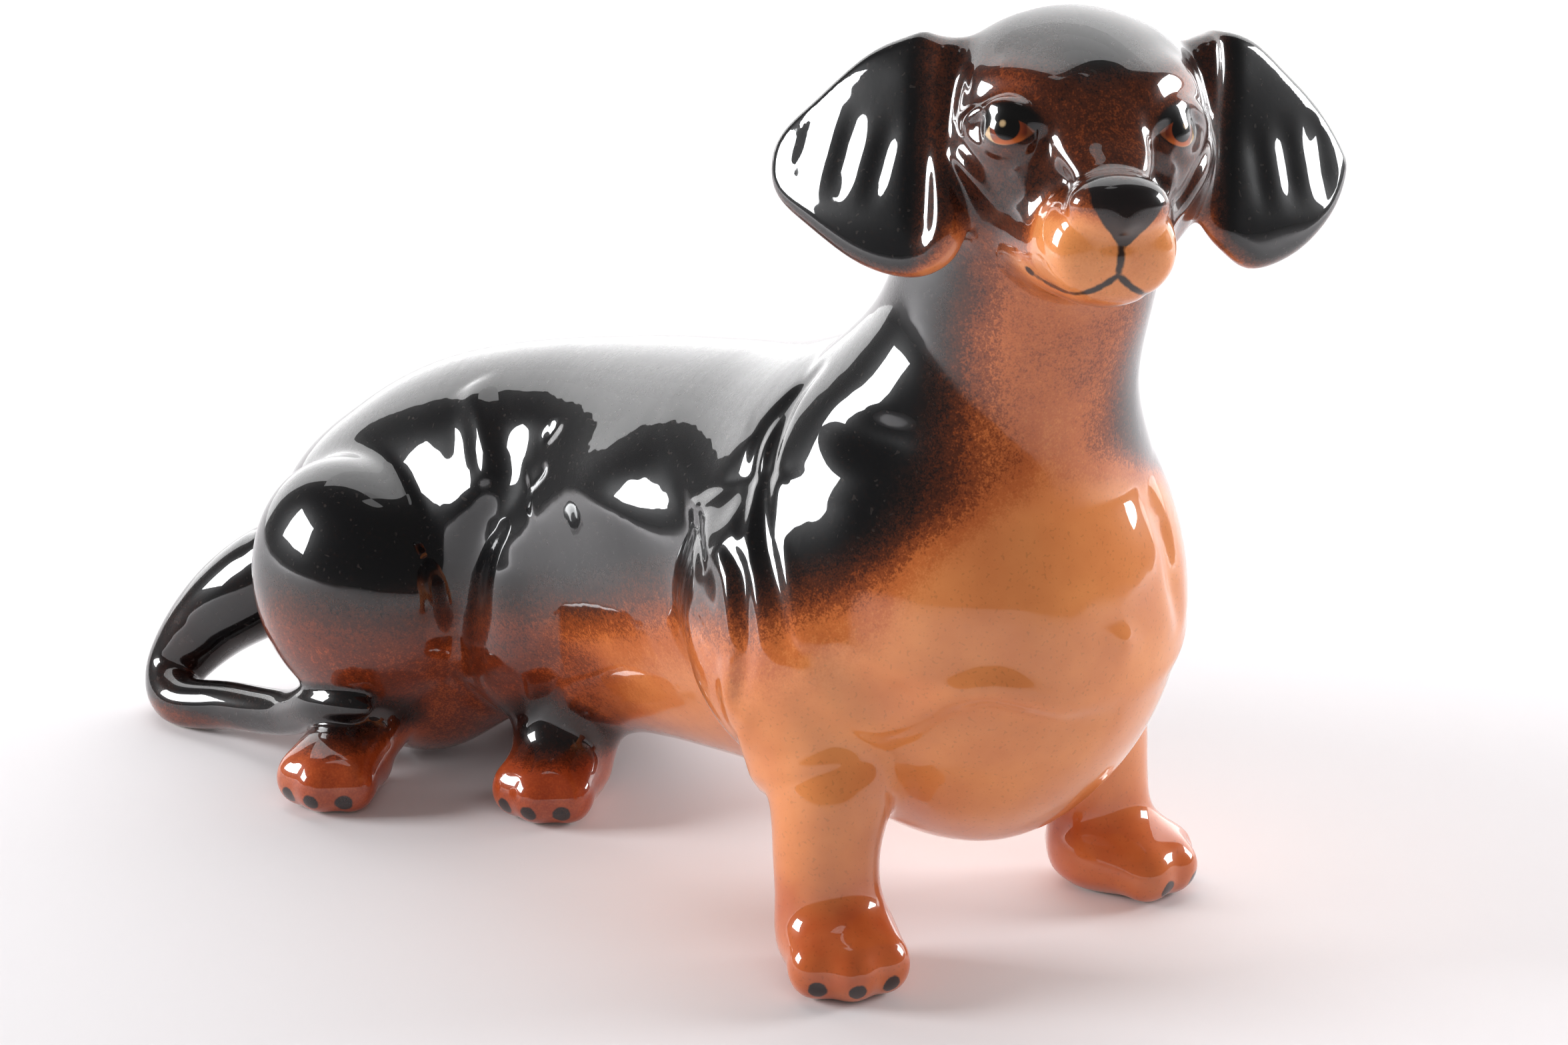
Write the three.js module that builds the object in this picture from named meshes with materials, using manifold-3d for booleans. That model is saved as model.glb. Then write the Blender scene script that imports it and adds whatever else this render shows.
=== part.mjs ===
// Glazed ceramic figurine of a dachshund: straight forelegs, hindquarters rolled onto the left
// haunch so both hind feet point to the right, head raised and turned to the right.
// Millimetres. +X is the way the dog faces, +Y its left side, +Z up, floor at Z = 0.
// Points below are measured from the floor under the middle of the back.
// The body and the head are hollow castings. The ears, legs, feet and tail are small solid
// castings, stuck on with slip along seams before the glaze firing.

import * as THREE from "three";
import { mergeVertices } from "three/addons/utils/BufferGeometryUtils.js";
import Module from "manifold-3d";

// Overall sizes
const standHeight = 114.5; // floor to the crown of the head
const trunkLength = 142; // breast to rump
const trunkWidth = 50; // across the chest
const trunkDepth = 59; // breastbone to withers
const keelClearance = 11.5; // floor to the breastbone
const rumpWidth = 34;
const rumpDepth = 38;
const rumpDrop = 14.5; // the rump's middle lies this much lower than the chest's
const rumpSway = 12; // and this much to the right

// Casting and joining
const wall = 3.2; // thickness of the hollow castings
const seamGap = 0.3; // slip seam between two castings
const ventDiameter = 8; // pouring and vent hole in the belly
const soleCut = 0.8; // how much each sole and haunch is ground flat

// Neck and head
const neckWidth = 30;
const headAhead = 56; // middle of the skull in front of the middle of the back
const headAside = 1.8; // and to the left
const headYaw = THREE.MathUtils.degToRad(-30);
const headRoll = THREE.MathUtils.degToRad(-3);
const skullWidth = 31;
const skullDepth = 31;
const occiputLength = 17; // skull middle back to the nape
const muzzleLength = 28.5; // skull middle forward to the nose
const muzzleWidth = 15.5;
const muzzleDepth = 13.5;

// Ears
const earSpan = 23; // across the leaf at its widest
const earDrop = 28; // top of the root to the lowest edge
const earThickness = 4.6;
const earSweep = 8; // how far the outer edge lies behind the root

// Legs, feet and tail
const foreStance = 44; // between the middles of the forelegs
const foreAhead = 42.5; // forelegs in front of the middle of the back
const legThickness = 12.6;
const pawLength = 18;
const pawWidth = 14.6;
const pawHeight = 11.4;
const tailRoot = 17; // thickness where it leaves the rump
const tailMiddle = 7;
const tailTip = 4;

// Smoothness of the sculpted forms
const ringsLarge = 20;
const sidesLarge = 26;
const ringsSmall = 12;
const sidesSmall = 16;

const wasm = await Module();
wasm.setup();

const vec = (x, y, z) => new THREE.Vector3(x, y, z);

// A closed geometry as a solid that can be joined and cut.
function solid(geometry) {
  const bare = geometry.clone();
  bare.deleteAttribute("normal");
  bare.deleteAttribute("uv");
  const merged = mergeVertices(bare, 1e-4);
  return new wasm.Manifold(
    new wasm.Mesh({
      numProp: 3,
      vertProperties: new Float32Array(merged.attributes.position.array),
      triVerts: new Uint32Array(merged.index.array),
    }),
  );
}

function join(...solids) {
  return solids.reduce((all, next) => all.add(next));
}

// A rounded form along a spine: a sphere whose poles are the spine's ends, swelled at each point
// of the spine to its own half width and half depth. blunt sets how late the ends round off, up
// is the direction that depth is measured in, and grow moves the whole surface outwards.
function form({ spine, width, depth, blunt = 6, up = vec(0, 0, 1), keel = 0, large = false }, grow = 0) {
  const rings = large ? ringsLarge : ringsSmall;
  const sides = large ? sidesLarge : sidesSmall;
  const curve = new THREE.CatmullRomCurve3(spine, false, "catmullrom", 0.5);
  const swell = new THREE.CatmullRomCurve3(
    spine.map((p, i) => vec(width[i], depth[i], 0)),
    false,
    "catmullrom",
    0.5,
  );
  const geometry = new THREE.SphereGeometry(1, sides, rings);
  const position = geometry.attributes.position;
  const unit = vec(0, 0, 0);
  for (let i = 0; i < position.count; i++) {
    unit.fromBufferAttribute(position, i);
    const t = THREE.MathUtils.clamp((1 - unit.y) / 2, 0, 1);
    const round = Math.hypot(unit.x, unit.z);
    const across = round > 1e-6 ? unit.x / round : 0;
    const above = round > 1e-6 ? unit.z / round : 0;
    const end = 2 * t - 1;
    const fade = Math.sqrt(Math.max(0, 1 - Math.abs(end) ** blunt));
    const centre = curve.getPoint(t);
    const along = curve.getTangent(t);
    const side = up.clone().cross(along).normalize();
    const top = along.clone().cross(side);
    const size = swell.getPoint(t);
    const narrowed = 1 - keel * Math.max(0, -above);
    centre.addScaledVector(side, across * fade * (size.x * narrowed + grow));
    centre.addScaledVector(top, above * fade * (size.y + grow));
    centre.addScaledVector(along, end * grow);
    position.setXYZ(i, centre.x, centre.y, centre.z);
  }
  return solid(geometry);
}

// The same form mirrored to the dog's left side.
function mirrored(shape) {
  const flip = (p) => vec(p.x, -p.y, p.z);
  return { ...shape, spine: shape.spine.map(flip) };
}

// A block that reaches well past the figurine on one side of a plane through a point.
function halfSpace(point, direction) {
  const reach = 4 * (trunkLength + standHeight);
  const geometry = new THREE.BoxGeometry(reach, reach, reach);
  geometry.translate(0, 0, reach / 2);
  geometry.applyQuaternion(
    new THREE.Quaternion().setFromUnitVectors(vec(0, 0, 1), direction.clone().normalize()),
  );
  geometry.translate(point.x, point.y, point.z);
  return solid(geometry);
}

// ---- Forms ----

const chestHeight = keelClearance + trunkDepth / 2;
const rumpHeight = chestHeight - rumpDrop;
const breastX = 0.472 * trunkLength;
const rumpX = breastX - trunkLength;

// Points along the back, at shares of the way from the rump to the breast.
const backX = (share) => THREE.MathUtils.lerp(rumpX, breastX, share);
const trunk = {
  spine: [
    vec(rumpX, -rumpSway - 3, rumpHeight - 2),
    vec(backX(0.115), -rumpSway, rumpHeight + 0.5),
    vec(backX(0.23), -0.45 * rumpSway, rumpHeight + 4.5),
    vec(backX(0.4), 0, chestHeight - 6.5),
    vec(backX(0.59), 0, chestHeight - 2.5),
    vec(backX(0.745), 0.5, chestHeight),
    vec(backX(0.865), 2, chestHeight),
    vec(breastX, 2.5, chestHeight + 1),
  ],
  width: [
    0.7 * (rumpWidth / 2),
    rumpWidth / 2,
    rumpWidth / 2 + 4,
    0.88 * (trunkWidth / 2),
    0.92 * (trunkWidth / 2),
    trunkWidth / 2,
    trunkWidth / 2,
    0.8 * (trunkWidth / 2),
  ],
  depth: [
    0.7 * (rumpDepth / 2),
    rumpDepth / 2,
    rumpDepth / 2 + 4.5,
    0.87 * (trunkDepth / 2),
    0.91 * (trunkDepth / 2),
    0.98 * (trunkDepth / 2),
    trunkDepth / 2,
    0.7 * (trunkDepth / 2),
  ],
  blunt: 8,
  keel: 0.12,
  large: true,
};

// Right haunch, seen from the right, and left haunch, which the dog lies on.
const haunchX = backX(0.215);
const haunchRight = {
  spine: [
    vec(haunchX - 16, -rumpSway - 14, rumpHeight - 4),
    vec(haunchX - 2, -rumpSway - 15, rumpHeight),
    vec(haunchX + 15, -rumpSway - 11, rumpHeight + 1),
  ],
  width: [10, 12, 10],
  depth: [13, 16.5, 13],
  blunt: 2.6,
};
const haunchLeft = {
  spine: [vec(haunchX - 20, 6, 14), vec(haunchX - 4, 10, 15), vec(haunchX + 18, 11, 13)],
  width: [12, 15, 12],
  depth: [13, 16, 12],
  blunt: 2.6,
};
// The left thigh and knee, drawn under the belly towards the right.
const kneeX = backX(0.36);
const knee = {
  spine: [vec(kneeX - 7, -4, 22), vec(kneeX, -11, 22), vec(kneeX + 7, -13, 17)],
  width: [9, 11, 7],
  depth: [12, 14, 10],
  blunt: 2.4,
};
// Shoulder blade and upper arm, bulging beside the chest.
const foreY = foreStance / 2;
const shoulder = {
  spine: [
    vec(foreAhead - 16, -0.36 * trunkWidth, chestHeight + 15),
    vec(foreAhead - 9, -0.42 * trunkWidth, chestHeight - 2),
    vec(foreAhead - 3, -foreY + 1, chestHeight - 17),
  ],
  width: [8, 9.5, 7.5],
  depth: [11, 14, 10],
  blunt: 3,
  up: vec(1, 0, 0),
};

const skullHeight = standHeight - skullDepth / 2;
const skull = vec(headAhead, headAside, skullHeight);
const neck = {
  spine: [
    vec(headAhead - 20, 1, chestHeight + 2),
    vec(headAhead - 15, 1, chestHeight + 16),
    vec(headAhead - 9.5, 1.5, THREE.MathUtils.lerp(chestHeight, skullHeight, 0.55)),
    vec(headAhead - 5, 2, THREE.MathUtils.lerp(chestHeight, skullHeight, 0.8)),
    vec(headAhead - 3, headAside, skullHeight - 1),
  ],
  width: [0.8 * neckWidth, 0.7 * neckWidth, 0.51 * neckWidth, neckWidth / 2 - 0.6, 0.4 * neckWidth],
  depth: [0.8 * neckWidth, 0.7 * neckWidth, 0.54 * neckWidth, neckWidth / 2, 0.4 * neckWidth],
  blunt: 8,
  up: vec(1, 0, 0),
  large: true,
};

// Head forms are drawn facing +X round the middle of the skull, then turned and placed.
const headPlace = new THREE.Matrix4().compose(
  skull,
  new THREE.Quaternion().setFromEuler(new THREE.Euler(headRoll, 0, headYaw, "ZYX")),
  vec(1, 1, 1),
);
const skullForm = {
  spine: [
    vec(-occiputLength, 0, -1),
    vec(-0.5 * occiputLength, 0, 0),
    vec(3, 0, 0),
    vec(0.4 * muzzleLength, 0, -1.2),
    vec(0.62 * muzzleLength, 0, -4),
  ],
  width: [0.4 * skullWidth, 0.48 * skullWidth, skullWidth / 2, 0.44 * skullWidth, 0.25 * skullWidth],
  depth: [0.4 * skullDepth, 0.49 * skullDepth, skullDepth / 2, 0.44 * skullDepth, 0.25 * skullDepth],
  blunt: 4,
  large: true,
};
const muzzleForm = {
  spine: [
    vec(0, 0, -5),
    vec(0.42 * muzzleLength, 0, -5.6),
    vec(0.75 * muzzleLength, 0, -6),
    vec(muzzleLength - 1, 0, -6),
  ],
  width: [0.72 * muzzleWidth, 0.6 * muzzleWidth, muzzleWidth / 2, 0.42 * muzzleWidth],
  depth: [0.8 * muzzleDepth, 0.62 * muzzleDepth, muzzleDepth / 2, 0.42 * muzzleDepth],
  blunt: 6,
};
const noseForm = {
  spine: [
    vec(muzzleLength - 7, 0, -1.8),
    vec(muzzleLength - 3, 0, -1.4),
    vec(muzzleLength + 0.6, 0, -2.2),
  ],
  width: [3.6, 4, 2.8],
  depth: [2.6, 3, 2.4],
  blunt: 2.6,
};
// One ear: from its root beside the crown it hangs out and down to a rounded leaf.
const earTop = 0.4 * skullDepth;
const earRootY = skullWidth / 2 + 0.6;
const earSide = vec(0.76, 0.56, 0.3).normalize(); // the way the right ear's leaf faces, mirrored
const earForm = {
  spine: [
    vec(-3, -earRootY + 4.5, earTop - 0.5),
    vec(-4, -earRootY - 0.6, earTop - 0.2 * earDrop),
    vec(-0.5 * earSweep, -earRootY - 6, earTop - 0.44 * earDrop),
    vec(-0.3 * earSweep, -earRootY - 8, earTop - 0.65 * earDrop),
    vec(2.5, -earRootY - 5, earTop - earDrop),
  ],
  width: [3.5, 0.24 * earSpan, 0.42 * earSpan, 0.46 * earSpan, 0.2 * earSpan],
  depth: [
    0.5 * earThickness,
    0.6 * earThickness,
    earThickness / 2,
    earThickness / 2,
    0.4 * earThickness,
  ],
  blunt: 5,
  up: vec(earSide.x, -earSide.y, earSide.z),
};

// Foreleg with its paw, right side.
const foreLeg = {
  spine: [
    vec(foreAhead - 6, -foreY + 3, chestHeight - 14),
    vec(foreAhead - 1, -foreY + 1, pawHeight + 11),
    vec(foreAhead, -foreY, pawHeight + 2),
    vec(foreAhead + 1, -foreY, 1),
  ],
  width: [0.62 * legThickness, 0.54 * legThickness, legThickness / 2, legThickness / 2],
  depth: [0.8 * legThickness, 0.58 * legThickness, legThickness / 2, legThickness / 2],
  blunt: 8,
  up: vec(1, 0, 0),
};
// A paw that points along `aim` from the ankle, with its sole on the floor.
function paw(ankle, aim) {
  const toe = THREE.MathUtils.degToRad(aim);
  const at = (reach, height) =>
    vec(ankle.x + reach * Math.cos(toe), ankle.y + reach * Math.sin(toe), height);
  return {
    spine: [
      at(-0.42 * pawLength, 0.44 * pawHeight),
      at(-0.1 * pawLength, 0.5 * pawHeight - soleCut),
      at(0.24 * pawLength, 0.47 * pawHeight - soleCut),
      at(0.58 * pawLength, 0.38 * pawHeight),
    ],
    width: [0.38 * pawWidth, 0.46 * pawWidth, pawWidth / 2, 0.36 * pawWidth],
    depth: [0.42 * pawHeight, pawHeight / 2, 0.47 * pawHeight, 0.34 * pawHeight],
    blunt: 3,
  };
}
const forePawAim = -28;

// Hind feet, both pointing to the right from under the haunches.
const hindRightAnkle = vec(haunchX + 3, -rumpSway - 21, 0);
const hindRightLeg = {
  spine: [
    vec(haunchX - 2, -rumpSway - 12.5, rumpHeight - 12),
    vec(haunchX - 0.5, -rumpSway - 14.5, pawHeight),
    vec(haunchX + 1.5, -rumpSway - 17, 3.5),
  ],
  width: [6, 6, 5.5],
  depth: [7.5, 7, 6],
  blunt: 5,
  up: vec(1, 0, 0),
};
const hindLeftAnkle = vec(kneeX + 3, -12.6, 0);
const hindLeftLeg = {
  spine: [vec(kneeX, -7.5, 21), vec(kneeX + 2, -11, pawHeight), vec(kneeX + 3, -13, 3)],
  width: [6.5, 6.6, 6],
  depth: [8, 7, 6],
  blunt: 5,
  up: vec(1, 0, 0),
};
const hindPawAim = -62;

// Thickness along the tail, as shares of its root's, down to the blunt tip.
const tailShape = [
  1,
  0.84,
  0.66,
  (1.16 * tailMiddle) / tailRoot,
  tailMiddle / tailRoot,
  (0.94 * tailMiddle) / tailRoot,
  (0.88 * tailMiddle) / tailRoot,
  (0.82 * tailMiddle) / tailRoot,
  tailTip / tailRoot,
];
// The tail leaves the rump, turns round on the floor and ends over the right hind ankle.
const tail = {
  spine: [
    vec(rumpX + 10, -rumpSway - 4, rumpHeight - 2),
    vec(rumpX + 1, -rumpSway - 11.5, rumpHeight - 8.5),
    vec(rumpX - 5, -rumpSway - 16, 0.7 * tailRoot),
    vec(rumpX - 7.5, -rumpSway - 20, 0.8 * tailMiddle),
    vec(rumpX - 2.5, -rumpSway - 22.5, tailMiddle / 2 - 0.4),
    vec(rumpX + 7, -rumpSway - 20.5, tailMiddle / 2 + 1),
    vec(haunchX - 11, -rumpSway - 20, tailMiddle / 2 + 3.5),
    vec(haunchX, -rumpSway - 21.5, pawHeight + 0.4),
    vec(haunchX + 8.5, -rumpSway - 20, pawHeight + 1.6),
  ],
  width: tailShape.map((share) => (share * tailRoot) / 2),
  depth: tailShape.map((share) => (share * tailRoot) / 2),
  blunt: 12,
  large: true,
};

// ---- Castings ----

const floor = halfSpace(vec(0, 0, 0), vec(0, 0, -1));
const onFloor = (s) => s.subtract(floor);

function inHead(made) {
  return made.transform(headPlace.elements);
}

// The neck seam: a plane across the neck, half the seam's gap to each side of it.
const seamPoint = vec(
  headAhead - 8.5,
  1.5,
  THREE.MathUtils.lerp(chestHeight, skullHeight, 0.6),
);
const seamUp = vec(0.32, 0, 0.95).normalize();
const aboveSeam = halfSpace(seamPoint.clone().addScaledVector(seamUp, -seamGap / 2), seamUp);
const belowSeam = halfSpace(
  seamPoint.clone().addScaledVector(seamUp, seamGap / 2),
  seamUp.clone().negate(),
);

// Outside of the body, and the same grown or shrunk by a distance.
function bodyForms(grow) {
  return join(
    form(trunk, grow),
    form(haunchRight, grow),
    form(haunchLeft, grow),
    form(knee, grow),
    form(shoulder, grow),
    form(mirrored(shoulder), grow),
  );
}
const bodyOuter = join(bodyForms(0), form(neck).subtract(aboveSeam));
const bodyReach = join(bodyForms(seamGap), form(neck, seamGap).subtract(aboveSeam));
const bodyHollow = join(form(trunk, -wall), form(neck, -wall));
const vent = new THREE.CylinderGeometry(ventDiameter / 2, ventDiameter / 2, chestHeight, 32);
vent.rotateX(Math.PI / 2);
vent.translate(backX(0.58), 0, chestHeight / 2);
const body = onFloor(bodyOuter).subtract(bodyHollow).subtract(solid(vent));

function headForms(grow) {
  return join(
    inHead(form(skullForm, grow)),
    inHead(form(muzzleForm, grow)),
    inHead(form(noseForm, grow)),
    form(neck, grow).subtract(belowSeam),
  );
}
const headHollow = join(inHead(form(skullForm, -wall)), form(neck, -wall));
const head = headForms(0).subtract(bodyForms(seamGap)).subtract(headHollow);
const headReach = headForms(seamGap);

const earRight = inHead(form(earForm)).subtract(headReach);
const earLeft = inHead(form({ ...mirrored(earForm), up: earSide })).subtract(headReach);

function foreleg(side) {
  const leg = side < 0 ? foreLeg : mirrored(foreLeg);
  const ankle = vec(foreAhead + 2, side * foreY, 0);
  const foot = paw(ankle, -side * forePawAim);
  return onFloor(join(form(leg), form(foot))).subtract(bodyReach);
}
const forelegRight = foreleg(-1);
const forelegLeft = foreleg(1);

const footRightOuter = (grow) =>
  join(form(hindRightLeg, grow), form(paw(hindRightAnkle, hindPawAim), grow));
const footLeftOuter = join(form(hindLeftLeg), form(paw(hindLeftAnkle, hindPawAim)));
const tailSolid = onFloor(form(tail)).subtract(bodyReach);
const hindFootRight = onFloor(footRightOuter(0)).subtract(bodyReach).subtract(form(tail, seamGap));
const hindFootLeft = onFloor(footLeftOuter).subtract(bodyReach);

// ---- Scene ----

const glaze = (color) => new THREE.MeshStandardMaterial({ color, roughness: 0.08, metalness: 0 });
const figurine = new THREE.Group();
const stance = new THREE.Group();
figurine.add(stance);

// Adds a casting as a mesh whose own origin is its reference point.
function piece(parent, name, made, origin, color) {
  const mesh = made.getMesh();
  const geometry = new THREE.BufferGeometry();
  const count = mesh.vertProperties.length / mesh.numProp;
  const points = new Float32Array(count * 3);
  for (let i = 0; i < count; i++) {
    points.set(mesh.vertProperties.subarray(i * mesh.numProp, i * mesh.numProp + 3), i * 3);
  }
  geometry.setAttribute("position", new THREE.BufferAttribute(points, 3));
  geometry.setIndex(new THREE.BufferAttribute(mesh.triVerts, 1));
  geometry.translate(-origin.x, -origin.y, -origin.z);
  geometry.computeVertexNormals();
  const part = new THREE.Mesh(geometry, glaze(color));
  part.name = name;
  part.position.copy(origin);
  parent.add(part);
  return part;
}

const headGroup = new THREE.Group();
stance.add(headGroup);
const chest = vec(foreAhead, 0, chestHeight);
piece(stance, "body_casting", body, chest, 0x2a1a14);
piece(headGroup, "head_casting", head, skull, 0x3b2218);
piece(headGroup, "ear_right", earRight, skull, 0x16130f);
piece(headGroup, "ear_left", earLeft, skull, 0x16130f);
piece(stance, "foreleg_right", forelegRight, vec(foreAhead, -foreY, 0), 0xa0521f);
piece(stance, "foreleg_left", forelegLeft, vec(foreAhead, foreY, 0), 0xa0521f);
piece(stance, "hind_foot_right", hindFootRight, hindRightAnkle, 0x7a3214);
piece(stance, "hind_foot_left", hindFootLeft, hindLeftAnkle, 0x7a3214);
piece(stance, "tail", tailSolid, vec(rumpX, -rumpSway, 0), 0x1c1512);

// The part's origin is the middle of its outline on the floor.
stance.updateMatrixWorld(true);
const outline = new THREE.Box3().setFromObject(stance);
const middle = outline.getCenter(vec(0, 0, 0));
stance.position.set(-middle.x, -middle.y, 0);

export default figurine;
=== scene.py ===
# Glazed ceramic dachshund figurine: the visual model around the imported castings.
import math

import bpy
import numpy as np
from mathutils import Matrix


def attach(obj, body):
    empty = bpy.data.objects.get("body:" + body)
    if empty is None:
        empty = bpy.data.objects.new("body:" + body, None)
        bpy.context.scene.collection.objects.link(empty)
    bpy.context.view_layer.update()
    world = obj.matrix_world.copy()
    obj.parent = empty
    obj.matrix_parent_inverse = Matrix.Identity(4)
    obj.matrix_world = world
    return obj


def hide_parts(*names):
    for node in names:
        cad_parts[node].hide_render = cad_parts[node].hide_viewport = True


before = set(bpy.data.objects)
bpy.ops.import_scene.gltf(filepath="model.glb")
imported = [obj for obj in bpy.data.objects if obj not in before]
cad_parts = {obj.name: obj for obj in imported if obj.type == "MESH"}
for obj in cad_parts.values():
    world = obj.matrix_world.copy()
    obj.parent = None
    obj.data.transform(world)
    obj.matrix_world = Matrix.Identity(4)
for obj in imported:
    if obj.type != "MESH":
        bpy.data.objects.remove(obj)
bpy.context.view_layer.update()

import openvdb
from mathutils import Vector

# ---- Sculpt ----
# Everything here is in millimetres, measured from the floor under the middle of the back, as the
# castings are drawn: x the way the dog faces, y its left side, z up.
TO_FRAME = np.array([2.576, 4.1305, 0.0])  # from there to the part's own origin
VOXEL = 0.42
BAND = 1.6
FAR = 14.0

RUMP_X, BREAST_X = -75.0, 67.0
HAUNCH_X, KNEE_X, FORE_X = -44.4, -23.9, 42.5
SKULL = np.array([56.0, 1.8, 99.0])
VENT_X = 4.8


def smooth_min(a, b, k):
    """The union of two forms, blended over k where they meet."""
    h = np.maximum(k - np.abs(a - b), 0.0) / k
    least = np.minimum(a, b)
    return least - h * h * h * k / 6.0 * np.clip(1.0 - least / 10.0, 0.0, 1.0)


def smooth_max(a, b, k):
    """What two forms share, or with -b what is left of a once b is carved out of it."""
    h = np.maximum(k - np.abs(a - b), 0.0) / k
    return np.maximum(a, b) + h * h * h * k / 6.0


def step(low, high, x):
    """A smooth rise from 0 at low to 1 at high; with low above high it falls instead."""
    t = np.clip((x - low) / (high - low), 0.0, 1.0)
    return t * t * (3.0 - 2.0 * t)


def spline(points, t):
    """A Catmull-Rom curve through the points, at shares t of the way along."""
    p = np.asarray(points, float)
    n = len(p)
    p = np.vstack([2 * p[0] - p[1], p, 2 * p[-1] - p[-2]])
    s = np.clip(np.asarray(t, float), 0, 1) * (n - 1)
    i = np.minimum(s.astype(int), n - 2)
    w = (s - i)[:, None]
    a, b, c, d = p[i], p[i + 1], p[i + 2], p[i + 3]
    m0, m1 = 0.5 * (c - a), 0.5 * (d - b)
    w2, w3 = w * w, w * w * w
    return (2 * w3 - 3 * w2 + 1) * b + (w3 - 2 * w2 + w) * m0 + (3 * w2 - 2 * w3) * c + (w3 - w2) * m1


class Form:
    """A rounded form along a spine with its own half width and half depth at each point."""

    def __init__(self, spine, width, depth=None, blunt=6.0, up=(0, 0, 1), keel=0.0, samples=72):
        depth = width if depth is None else depth
        t = (1 - np.cos(np.pi * np.arange(samples + 1) / samples)) / 2
        self.c = spline(spine, t)
        size = spline(np.stack([width, depth], 1), t)
        fade = np.sqrt(np.maximum(0, 1 - np.abs(2 * t - 1) ** blunt))
        along = np.gradient(self.c, axis=0)
        along /= np.linalg.norm(along, axis=1)[:, None]
        side = np.cross(np.array(up, float), along)
        side /= np.linalg.norm(side, axis=1)[:, None]
        self.side, self.top, self.along = side, np.cross(along, side), along
        self.a = np.maximum(size[:, 0] * fade, 0.06)
        self.b = np.maximum(size[:, 1] * fade, 0.06)
        run = np.r_[0, np.cumsum(np.linalg.norm(np.diff(self.c, axis=0), axis=1))]
        self.da, self.db = np.gradient(self.a, run), np.gradient(self.b, run)
        self.keel = keel
        reach = np.maximum(self.a, self.b)[:, None]
        self.low, self.high = (self.c - reach).min(0), (self.c + reach).max(0)

    def __call__(self, p, grow=0.0):
        out = np.full(len(p), FAR)
        near = ((p > self.low - FAR) & (p < self.high + FAR)).all(1)
        for part in np.array_split(np.nonzero(near)[0], max(1, int(near.sum()) // 60000)):
            if len(part):
                out[part] = np.minimum(FAR, self.measure(p[part], grow))
        return out

    def measure(self, p, grow):
        c = self.c
        far = (c * c).sum(1)[None, :] - 2 * p @ c.T
        i = np.clip(far.argmin(1), 1, len(c) - 2)
        seg = c[i + 1] - c[i]
        t1 = ((p - c[i]) * seg).sum(1) / (seg * seg).sum(1)
        back = c[i - 1] - c[i]
        t0 = ((p - c[i]) * back).sum(1) / (back * back).sum(1)
        forward = t1 > 0
        j = np.where(forward, i, i - 1)
        w = np.clip(np.where(forward, t1, 1 - t0), 0, 1)[:, None]

        def mix(q):
            share = w if q.ndim == 2 else w[:, 0]
            return q[j] * (1 - share) + q[j + 1] * share

        d = p - mix(c)
        u = (d * mix(self.side)).sum(1)
        v = (d * mix(self.top)).sum(1)
        z = (d * mix(self.along)).sum(1)
        a, b = mix(self.a) + grow, mix(self.b) + grow
        if self.keel:
            a = a * (1 - self.keel * np.clip(-v / np.maximum(b, 1), 0, 1))
        m = np.sqrt(a * b)
        q = np.sqrt((u / a) ** 2 + (v / b) ** 2 + (z / m) ** 2) + 1e-6
        slope = ((u / a) ** 2 * mix(self.da) + (v / b) ** 2 * mix(self.db)) / (q * q)
        grad = np.sqrt((u / (a * a)) ** 2 + (v / (b * b)) ** 2 + (z / (m * m)) ** 2 + 1e-9) / q
        return (q - 1) / grad / np.sqrt(1 + np.clip(slope, -1.5, 1.5) ** 2)


def mirrored(spine):
    return [(x, -y, z) for x, y, z in spine]


def ball(p, centre, radius):
    """An ellipsoid whose axes lie along x, y and z."""
    r = np.ones(3) * np.asarray(radius, float)
    q = (p - np.asarray(centre, float)) / r
    k0 = np.sqrt((q * q).sum(1)) + 1e-6
    k1 = np.sqrt(((q / r) ** 2).sum(1)) + 1e-6
    return k0 * (k0 - 1) / k1


def course(p, points, reach, samples=28):
    """For each point near a line: its distance to it and the share of the way along it."""
    line = spline(points, np.arange(samples + 1) / samples)
    away = np.full(len(p), 99.0)
    share = np.zeros(len(p))
    near = np.nonzero(((p > line.min(0) - reach) & (p < line.max(0) + reach)).all(1))[0]
    for part in np.array_split(near, max(1, len(near) // 60000)):
        if not len(part):
            continue
        q = p[part]
        i = ((line * line).sum(1)[None, :] - 2 * q @ line.T).argmin(1)
        best = np.full(len(q), 99.0)
        for j in (np.maximum(i - 1, 0), np.minimum(i, samples - 1)):
            seg = line[j + 1] - line[j]
            w = np.clip(((q - line[j]) * seg).sum(1) / (seg * seg).sum(1), 0, 1)
            d = np.linalg.norm(q - line[j] - seg * w[:, None], axis=1)
            closer = d < best
            best = np.where(closer, d, best)
            share[part[closer]] = ((j + w) / samples)[closer]
        away[part] = best
    return away, share


def stroke(p, points, width, depth, ends=0.3):
    """A soft groove along a line, fading at its ends; a negative depth makes it a ridge."""
    d, s = course(p, points, width * 3.2)
    fade = np.clip(np.minimum(s, 1 - s) / ends, 0, 1) if ends else 1.0
    return depth * np.exp(-(d / width) ** 2) * np.sqrt(fade)


def dent(p, centre, size, depth):
    """A soft round hollow, or with a negative depth a swelling."""
    q = ((p - np.asarray(centre, float)) / np.asarray(size, float))
    return depth * np.exp(-(q * q).sum(1))


def other(points):
    """The same line on the other side."""
    return [(x, -y, z) for x, y, z in points]


# Head axes: x forward along the muzzle, y left, z up, from the middle of the skull.
YAW, ROLL = math.radians(-30), math.radians(-3)
HEAD = np.array([
    [math.cos(YAW), -math.sin(YAW) * math.cos(ROLL), math.sin(YAW) * math.sin(ROLL)],
    [math.sin(YAW), math.cos(YAW) * math.cos(ROLL), -math.cos(YAW) * math.sin(ROLL)],
    [0.0, math.sin(ROLL), math.cos(ROLL)],
])


def to_head(p):
    return (p - SKULL) @ HEAD


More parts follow.
